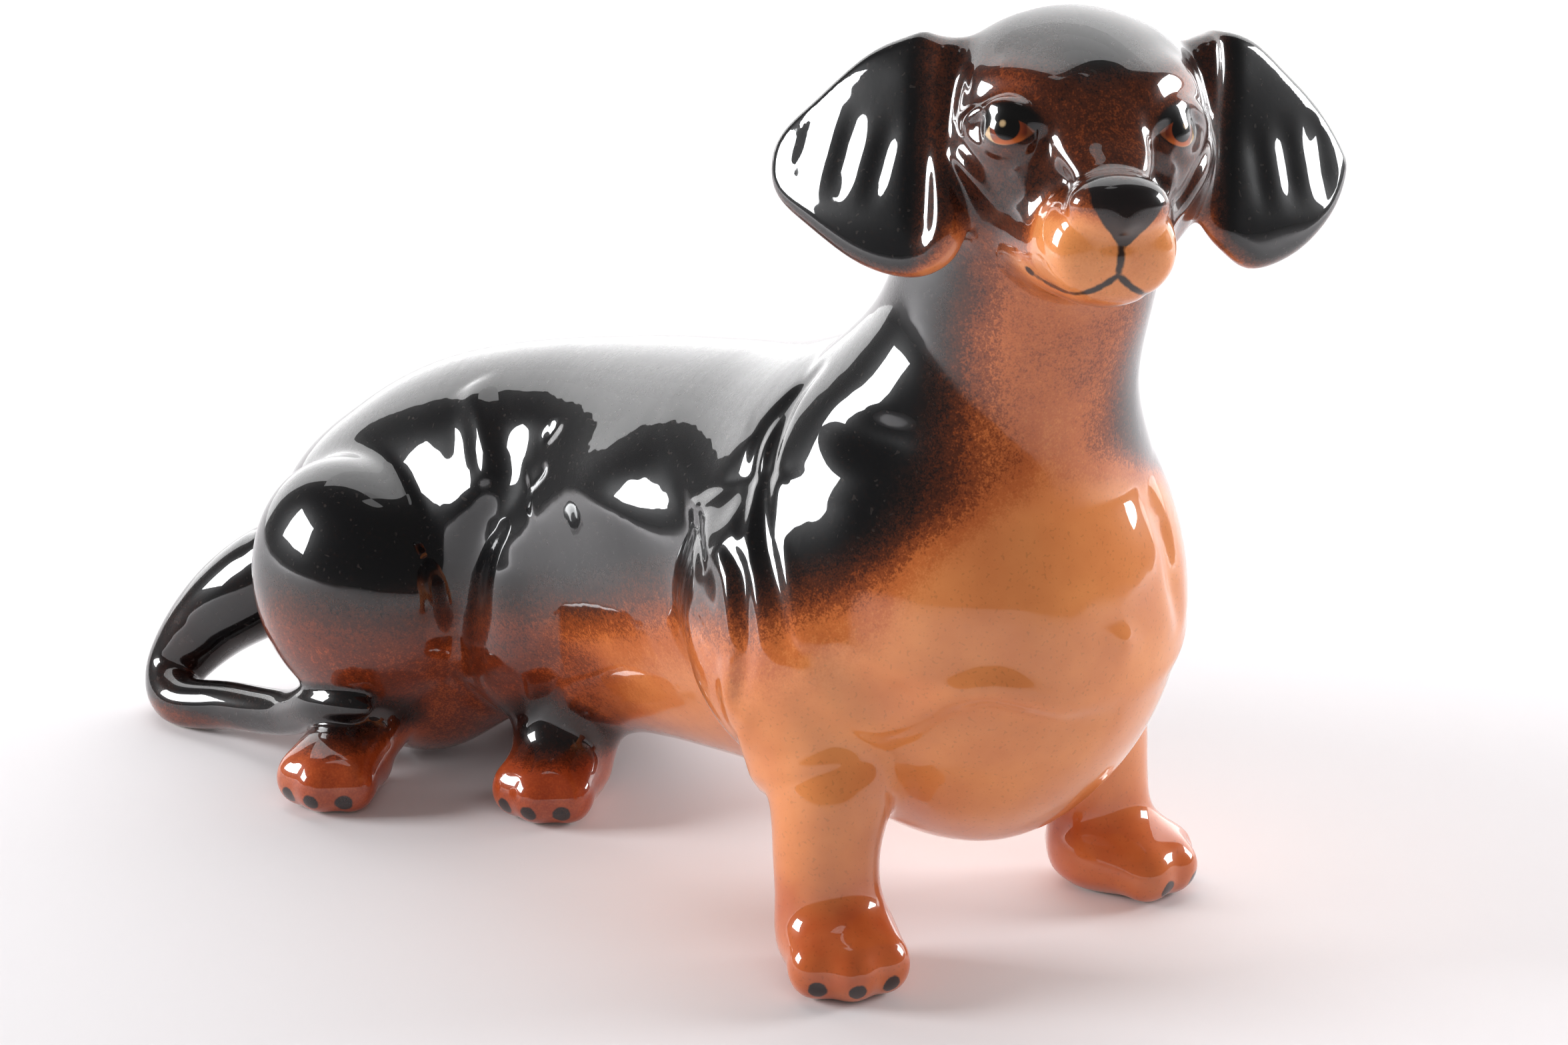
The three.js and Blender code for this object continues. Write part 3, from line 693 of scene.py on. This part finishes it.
# ---- Pieces ----
def refine(points, normals, faces):
    """Splits each triangle in four, laying the new points on the modelled surface."""
    pairs = np.sort(np.concatenate([faces[:, [0, 1]], faces[:, [1, 2]], faces[:, [2, 0]]]), axis=1)
    edges, index, count = np.unique(pairs, axis=0, return_inverse=True, return_counts=True)
    index = index.reshape(3, -1)
    middle = points[edges].mean(1)
    lean = normals[edges].sum(1)
    lean /= np.linalg.norm(lean, axis=1)[:, None]
    inner = np.nonzero(count == 2)[0]
    q = middle[inner]
    for _ in range(2):
        value, grad = sample(full, low, q)
        q = q - grad * (value / (grad * grad).sum(1).clip(0.1))[:, None]
    value, grad = sample(full, low, q)
    middle[inner] = q
    lean[inner] = grad / np.linalg.norm(grad, axis=1)[:, None]
    n = len(points)
    ab, bc, ca = index + n
    a, b, c = faces.T
    split = np.concatenate([np.stack(t, 1) for t in ((a, ab, ca), (ab, b, bc), (ca, bc, c), (ab, bc, ca))])
    return np.vstack([points, middle]), np.vstack([normals, lean]), split


full, low = volume()
grid = openvdb.FloatGrid(3.0)
grid.copyFromArray(full, tolerance=0.0)
points, triangles, quads = grid.convertToPolygons(0.0, 0.0)
points = points.astype(float) * VOXEL + low
for _ in range(3):
    value, grad = sample(full, low, points)
    points -= grad * (value / (grad * grad).sum(1).clip(0.1))[:, None]
value, grad = sample(full, low, points)
normals = grad / np.linalg.norm(grad, axis=1)[:, None]

shares = groups(points)
NODES = ["body_casting", "head_casting", "ear_right", "ear_left", "foreleg_right", "foreleg_left",
         "hind_foot_right", "hind_foot_left", "tail"]
LIMB_REACH = 1.2
lead = [LIMB_REACH if "foot" in name or "leg" in name else 0.0 for name in NODES]
owner = np.stack([shares[name] - more for name, more in zip(NODES, lead)]).argmin(0)
head_points = to_head(points)
PATCHES = {
    "eye_right": ("head_casting", np.linalg.norm(head_points + EYE_SHIFT - EYE * (1, -1, 1), axis=1) < 4.8),
    "eye_left": ("head_casting", np.linalg.norm(head_points + EYE_SHIFT - EYE, axis=1) < 4.8),
    "nose_and_lips": ("head_casting", (head_points[:, 0] > 15.5) & (np.abs(head_points[:, 1]) < 9.5)
                      & (head_points[:, 2] < 1.6) & (head_points[:, 2] > -12.6)
                      & ((head_points[:, 0] > 24) | (head_points[:, 2] < -8.5))),
}
for name, paw in paws.items():
    reach = np.min([np.linalg.norm(points - claw, axis=1) for claw in paw.claws], axis=0)
    PATCHES[name.replace("foreleg", "fore").replace("hind_foot", "hind") + "_claws"] = (name, reach < 2.3)

kind = owner.copy()
names = list(NODES)
for name, (node, mask) in PATCHES.items():
    kind[mask & ((owner == NODES.index(node)) | (name[:3] == "eye"))] = len(names)
    names.append(name)
stands_for = {name: name for name in NODES}
stands_for.update({name: node for name, (node, _) in PATCHES.items()})


# ---- Glaze ----
class Nodes:
    """Short names for building a node tree."""

    def __init__(self, tree):
        self.tree, self.links = tree, tree.links

    def add(self, kind, **sockets):
        node = self.tree.nodes.new(kind)
        for name, value in sockets.items():
            setattr(node, name, value)
        return node

    def put(self, socket, value):
        if hasattr(value, "is_linked"):
            self.links.new(value, socket)
        else:
            socket.default_value = value

    def math(self, operation, a, b=0.0, clamp=False):
        node = self.add("ShaderNodeMath", operation=operation, use_clamp=clamp)
        self.put(node.inputs[0], a)
        self.put(node.inputs[1], b)
        return node.outputs[0]

    def ease(self, value, low, high, out_low=0.0, out_high=1.0):
        node = self.add("ShaderNodeMapRange", interpolation_type="SMOOTHSTEP")
        for i, v in enumerate((value, low, high, out_low, out_high)):
            self.put(node.inputs[i], v)
        return node.outputs[0]

    def mix(self, share, a, b):
        node = self.add("ShaderNodeMix", data_type="RGBA")
        self.put(node.inputs[0], share)
        self.put(node.inputs[6], a)
        self.put(node.inputs[7], b)
        return node.outputs[2]

    def attribute(self, name):
        return self.add("ShaderNodeAttribute", attribute_name=name)

    def noise(self, scale, detail=2.0, rough=0.5):
        node = self.add("ShaderNodeTexNoise")
        self.links.new(self.place, node.inputs["Vector"])
        node.inputs["Scale"].default_value = scale
        node.inputs["Detail"].default_value = detail
        node.inputs["Roughness"].default_value = rough
        return node.outputs["Fac"]

    def ramp(self, value, stops):
        node = self.add("ShaderNodeValToRGB")
        node.color_ramp.interpolation = "B_SPLINE" if len(stops) > 12 else "EASE"
        bar = node.color_ramp.elements
        while len(bar) < len(stops):
            bar.new(0.5)
        for element, (at, colour) in zip(bar, stops):
            element.position = at
            element.color = paint(*colour)
        self.put(node.inputs[0], value)
        return node.outputs[0]


def paint(r, g, b):
    """A colour as the eye reads it, 0 to 255, as the linear value that a shader takes."""
    line = [c / 255 for c in (r, g, b)]
    return [c / 12.92 if c <= 0.04045 else ((c + 0.055) / 1.055) ** 2.4 for c in line] + [1.0]


def glaze(name, eye=None):
    """Airbrushed underglaze beneath a clear gloss glaze, with its fine mottle, specks and slow ripple."""
    mat = bpy.data.materials.new(name)
    mat.use_nodes = True
    n = Nodes(mat.node_tree)
    bsdf = mat.node_tree.nodes["Principled BSDF"]
    n.place = n.add("ShaderNodeTexCoord").outputs["Object"]
    black = n.attribute("black").outputs["Fac"]
    red = n.attribute("red").outputs["Fac"]
    bare = n.attribute("bare").outputs["Fac"]
    mark = n.attribute("mark").outputs["Fac"]

    cloud = n.noise(90, 3, 0.6)
    mottle = n.noise(1500, 3, 0.7)
    grain = n.noise(4200, 1, 0.5)
    edge = n.math("MULTIPLY", n.math("SUBTRACT", cloud, 0.5), 0.3)
    tone = n.math("ADD", black, n.math("MULTIPLY", edge, n.ease(black, 0.0, 0.25)))
    half = n.math("MULTIPLY", n.ease(tone, 0.02, 0.35), n.ease(tone, 1.0, 0.7))
    spray = n.math("MULTIPLY", n.math("SUBTRACT", mottle, 0.5), 0.42)
    spray = n.math("ADD", spray, n.math("MULTIPLY", n.math("SUBTRACT", grain, 0.5), 0.35))
    tone = n.math("ADD", tone, n.math("MULTIPLY", spray, n.math("ADD", half, 0.26)), clamp=True)
    tan = n.ramp(tone, [(0.0, (238, 152, 88)), (0.18, (212, 118, 60)), (0.38, (148, 74, 36)),
                        (0.58, (84, 42, 24)), (0.78, (42, 25, 20)), (0.93, (14, 13, 14)), (1.0, (8, 8, 10))])
    rust = n.ramp(tone, [(0.0, (184, 82, 38)), (0.18, (152, 62, 28)), (0.38, (104, 42, 20)),
                         (0.58, (68, 28, 16)), (0.78, (38, 18, 14)), (0.93, (13, 12, 13)), (1.0, (8, 8, 10))])
    warm = n.math("ADD", red, n.math("MULTIPLY", n.math("SUBTRACT", cloud, 0.5), 0.9), clamp=True)
    colour = n.mix(warm, tan, rust)
    fleck = n.ease(n.noise(2600, 0, 0.5), 0.66, 0.80, 0.0, 0.16)
    colour = n.mix(fleck, colour, paint(60, 34, 22))
    pale = n.ease(n.noise(1900, 0, 0.5), 0.745, 0.80, 0.0, 0.3)
    colour = n.mix(n.math("MULTIPLY", pale, n.ease(tone, 0.5, 0.9)), colour, paint(74, 66, 62))

    if eye is not None:
        spot = n.add("ShaderNodeSeparateXYZ")
        n.links.new(n.attribute("eye").outputs["Vector"], spot.inputs[0])
        u, v = spot.outputs[0], spot.outputs[1]
        ring = lambda cu, cv, r: n.math("SUBTRACT", n.math("SQRT", n.math("ADD", n.math(
            "POWER", n.math("ABSOLUTE", n.math("SUBTRACT", u, cu)), 2.0), n.math(
            "POWER", n.math("ABSOLUTE", n.math("SUBTRACT", v, cv)), 2.0))), r)
        lens = lambda cv, half_long, half_high: n.math(
            "MAXIMUM",
            ring(0.0, cv - ((half_long ** 2 + half_high ** 2) / (2 * half_high) - half_high),
                 (half_long ** 2 + half_high ** 2) / (2 * half_high)),
            ring(0.0, cv + ((half_long ** 2 + half_high ** 2) / (2 * half_high) - half_high),
                 (half_long ** 2 + half_high ** 2) / (2 * half_high)))
        cover = lambda d, soft=0.1: n.ease(d, -soft, soft, 1.0, 0.0)
        liner = lens(0.55, 3.9, 2.5)
        colour = n.mix(n.math("MULTIPLY", cover(liner, 0.45), 0.97), colour, paint(9, 8, 8))
        opening = lens(-0.35, 2.9, 1.38)
        inside = cover(opening, 0.12)
        white = n.mix(n.ease(u, -0.4, 0.8), paint(214, 178, 132), paint(120, 62, 34))
        colour = n.mix(inside, colour, white)
        iris = n.mix(cover(ring(0.1, 0.0, 1.7), 0.35), paint(92, 34, 14), paint(142, 58, 22))
        iris = n.mix(n.ease(v, -1.7, -0.5), paint(196, 98, 40), iris)
        colour = n.mix(n.math("MULTIPLY", cover(ring(0.1, -0.05, 2.15)), inside), colour, iris)
        pupil = n.math("MULTIPLY", cover(ring(0.1, 0.2, 1.5)), cover(liner, 0.3))
        colour = n.mix(pupil, colour, paint(7, 6, 6))
        lined = n.mix(cover(liner, 0.45), colour, paint(9, 8, 8))
        colour = n.mix(n.ease(v, 0.7, 1.15, 0.0, 0.95), colour, lined)
        colour = n.mix(cover(ring(-0.3, 0.55, 0.36), 0.16), colour, paint(186, 158, 118))

    brush = n.math("ADD", mark, n.math("MULTIPLY", n.math("SUBTRACT", n.noise(900, 2, 0.6), 0.5), 0.35))
    colour = n.mix(n.ease(brush, -0.12, 0.16, 0.97, 0.0), colour, paint(22, 20, 21))
    clay = n.ramp(n.noise(700, 4, 0.7),
                  [(0.2, (196, 184, 168)), (0.5, (226, 217, 203)), (0.8, (238, 232, 222))])
    n.links.new(n.mix(bare, colour, clay), bsdf.inputs["Base Color"])
    n.links.new(n.ease(bare, 0.0, 1.0, 0.3, 0.85), bsdf.inputs["Roughness"])
    n.links.new(n.ease(bare, 0.3, 0.7, 1.0, 0.0), bsdf.inputs["Coat Weight"])
    bsdf.inputs["Specular IOR Level"].default_value = 0.1
    bsdf.inputs["Coat IOR"].default_value = 1.62
    bsdf.inputs["Coat Roughness"].default_value = 0.025
    ripple = n.add("ShaderNodeBump")
    slow = n.math("MULTIPLY", n.noise(120, 1, 0.5), 1.0)
    height = n.math("ADD", slow, n.math("MULTIPLY", n.noise(420, 1, 0.5), 0.12))
    n.links.new(height, ripple.inputs["Height"])
    ripple.inputs["Strength"].default_value = 0.25
    ripple.inputs["Distance"].default_value = 0.0004
    n.links.new(ripple.outputs[0], bsdf.inputs["Coat Normal"])
    tooth = n.add("ShaderNodeBump")
    n.links.new(mottle, tooth.inputs["Height"])
    tooth.inputs["Strength"].default_value = 0.15
    tooth.inputs["Distance"].default_value = 0.00005
    n.links.new(tooth.outputs[0], bsdf.inputs["Normal"])
    return mat


SLOT = {"body_casting": "glaze_body", "head_casting": "glaze_head", "ear_right": "glaze_black",
        "ear_left": "glaze_black", "foreleg_right": "glaze_tan", "foreleg_left": "glaze_tan",
        "hind_foot_right": "glaze_red_brown", "hind_foot_left": "glaze_red_brown", "tail": "glaze_black"}
materials = {slot: glaze(slot) for slot in sorted(set(SLOT.values()))}
eye_paint = glaze("glaze_eye", eye=True)

EYE_LONG = np.array([0.70, 0.66, 0.27])  # from the outer corner to the inner one, right eye
EYE_OUT = np.array([0.72, -0.62, 0.31])


def eye_plane(h, right):
    long, out = EYE_LONG.copy(), EYE_OUT.copy()
    m = np.array([1.0, -1.0 if right else 1.0, 1.0])
    q = (h + EYE_SHIFT - EYE * m) * np.array([1.0, 1.0 if right else -1.0, 1.0])
    out /= np.linalg.norm(out)
    long -= out * (long @ out)
    long /= np.linalg.norm(long)
    tall = np.cross(out, long)
    tall = tall if tall[2] > 0 else -tall
    return np.stack([q @ long, q @ tall, q @ out], 1)


all_faces = [quads.astype(int), triangles.astype(int)]
first = [np.stack([kind[f[:, i]] for i in range(f.shape[1])]).min(0) for f in all_faces]
latest = [np.stack([kind[f[:, i]] for i in range(f.shape[1])]).max(0) for f in all_faces]
belongs = [np.where(hi >= len(NODES), hi, lo) for lo, hi in zip(first, latest)]
for k, name in enumerate(names):
    faces = [f[b == k] for f, b in zip(all_faces, belongs)]
    if not sum(len(f) for f in faces):
        continue
    used = np.unique(np.concatenate([f.ravel() for f in faces]))
    renumber = np.full(len(points), -1)
    renumber[used] = np.arange(len(used))
    at, lean = points[used], normals[used]
    faces = [renumber[f] for f in faces]
    if k >= len(NODES):
        split = np.concatenate([faces[1]] + [faces[0][:, [0, 1, 2]], faces[0][:, [0, 2, 3]]])
        for _ in range(2 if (name[:3] == "eye") else 1):
            at, lean, split = refine(at, lean, split)
        faces = [split]
    mesh = bpy.data.meshes.new(name)
    mesh.from_pydata(((at + TO_FRAME) / 1000).tolist(), [], sum([f.tolist() for f in faces], []))
    mesh.update()
    mesh.polygons.foreach_set("use_smooth", np.ones(len(mesh.polygons), bool))
    mesh.normals_split_custom_set_from_vertices(lean.tolist())
    look = dict(zip(("black", "red", "bare", "mark"), painting(at, groups(at))))
    for label, values in look.items():
        layer = mesh.attributes.new(label, "FLOAT", "POINT")
        layer.data.foreach_set("value", np.ascontiguousarray(values, np.float32))
    node = stands_for[name]
    if name[:3] == "eye":
        layer = mesh.attributes.new("eye", "FLOAT_VECTOR", "POINT")
        plane = eye_plane(to_head(at), name == "eye_right")
        layer.data.foreach_set("vector", plane.astype(np.float32).ravel())
        mesh.materials.append(eye_paint)
    else:
        mesh.materials.append(materials[SLOT[node]])
    piece = bpy.data.objects.new(name if k >= len(NODES) else name + "_glazed", mesh)
    bpy.context.collection.objects.link(piece)
    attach(piece, "root")
    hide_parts(node)


# ---- Studio ----
def staged(name, verts, faces, colour, glow=0.0):
    mesh = bpy.data.meshes.new(name)
    mesh.from_pydata(verts, [], faces)
    o = bpy.data.objects.new(name, mesh)
    bpy.context.collection.objects.link(o)
    mat = bpy.data.materials.new(name + "_paper")
    mat.use_nodes = True
    bsdf = mat.node_tree.nodes["Principled BSDF"]
    bsdf.inputs["Base Color"].default_value = colour
    bsdf.inputs["Roughness"].default_value = 0.9
    bsdf.inputs["Specular IOR Level"].default_value = 0.1
    if glow:
        bsdf.inputs["Emission Color"].default_value = (1, 1, 1, 1)
        bsdf.inputs["Emission Strength"].default_value = glow
    mesh.materials.append(mat)
    return o


FLOOR_HALF = 3
corners = [(-FLOOR_HALF, -FLOOR_HALF, 0), (FLOOR_HALF, -FLOOR_HALF, 0), (FLOOR_HALF, FLOOR_HALF, 0),
           (-FLOOR_HALF, FLOOR_HALF, 0)]
staged("studio_floor", corners, [(0, 1, 2, 3)], (0.80, 0.775, 0.785, 1))
# A curved white sweep behind the figurine, as seen from the camera.
facing = math.radians(-130)
sweep = []
for i in range(13):
    angle = facing + math.radians(-60 + 108 * i / 12)
    x, y = math.sin(angle), -math.cos(angle)
    for distance, height in ((1.1, 0.0), (1.16, 0.02), (1.2, 0.1), (1.22, 1.3)):
        sweep.append((x * distance, y * distance, height))
sheets = [(i * 4 + j, i * 4 + j + 4, i * 4 + j + 5, i * 4 + j + 1) for i in range(12) for j in range(3)]
staged("studio_sweep", sweep, sheets, (0.9, 0.9, 0.9, 1), 1.4)
# Its top leans forward over the table, further from the lamps and so dimmer.
canopy = []
for i in range(13):
    angle = facing + math.radians(-60 + 118 * i / 12)
    for distance, height in ((1.22, 1.3), (1.0, 1.6), (0.6, 1.8), (0.25, 1.88)):
        canopy.append((math.sin(angle) * distance, -math.cos(angle) * distance, height))
staged("studio_canopy", canopy, sheets, (0.9, 0.9, 0.9, 1), 1.0)
# The far side of the room gives back a little light past the canopy's end.
crest = []
for i in range(13):
    angle = facing + math.radians(-60 + 118 * i / 12)
    for distance, height in ((0.25, 1.88), (0.05, 1.89), (-0.15, 1.88), (-0.35, 1.85)):
        crest.append((math.sin(angle) * distance, -math.cos(angle) * distance, height))
staged("studio_crest", crest, sheets, (0.9, 0.9, 0.9, 1), 0.5)

world = bpy.data.worlds.new("studio")
bpy.context.scene.world = world
world.use_nodes = True
world.node_tree.nodes["Background"].inputs["Color"].default_value = (1, 0.98, 0.97, 1)
world.node_tree.nodes["Background"].inputs["Strength"].default_value = 0.09
bpy.context.scene.view_settings.view_transform = "Standard"


def lamp(name, azimuth, elevation, distance, size, glow, seen=True):
    """A softbox; with seen off it lights the figurine but shows in none of its reflections."""
    a, e = math.radians(azimuth), math.radians(elevation)
    toward = Vector((math.sin(a) * math.cos(e), -math.cos(a) * math.cos(e), math.sin(e)))
    data = bpy.data.lights.new(name, "AREA")
    data.shape = "RECTANGLE"
    data.size, data.size_y = size
    data.energy = glow * math.pi * size[0] * size[1]
    data.color = (0.97, 0.985, 1.0)
    o = bpy.data.objects.new(name, data)
    o.location = Vector((0.01, 0, 0.05)) + toward * distance
    o.rotation_mode = "QUATERNION"
    o.rotation_quaternion = toward.to_track_quat("Z", "Y")
    bpy.context.collection.objects.link(o)
    o.visible_glossy = seen
    return o


lamp("softbox_left", -42, 17, 0.75, (0.32, 0.24), 24)
lamp("softbox_right", 156, 16, 0.85, (0.30, 0.30), 17)
lamp("room_fill", 62, 28, 1.3, (0.9, 0.9), 1.5, seen=False)

camera_data = bpy.data.cameras.new("camera")
camera = bpy.data.objects.new("camera", camera_data)
bpy.context.collection.objects.link(camera)
bpy.context.scene.camera = camera
camera_data.sensor_width = 36
camera_data.lens = 108
camera_data.clip_start = 0.01
azimuth, elevation = math.radians(50), math.radians(18)
level = math.cos(elevation)
back = Vector((math.sin(azimuth) * level, -math.cos(azimuth) * level, math.sin(elevation)))
target = Vector((0.02847, -0.010456, 0.05))
CAMERA_DISTANCE = 0.56
camera.location = target + back * CAMERA_DISTANCE
camera.rotation_mode = "QUATERNION"
camera.rotation_quaternion = back.to_track_quat("Z", "Y")
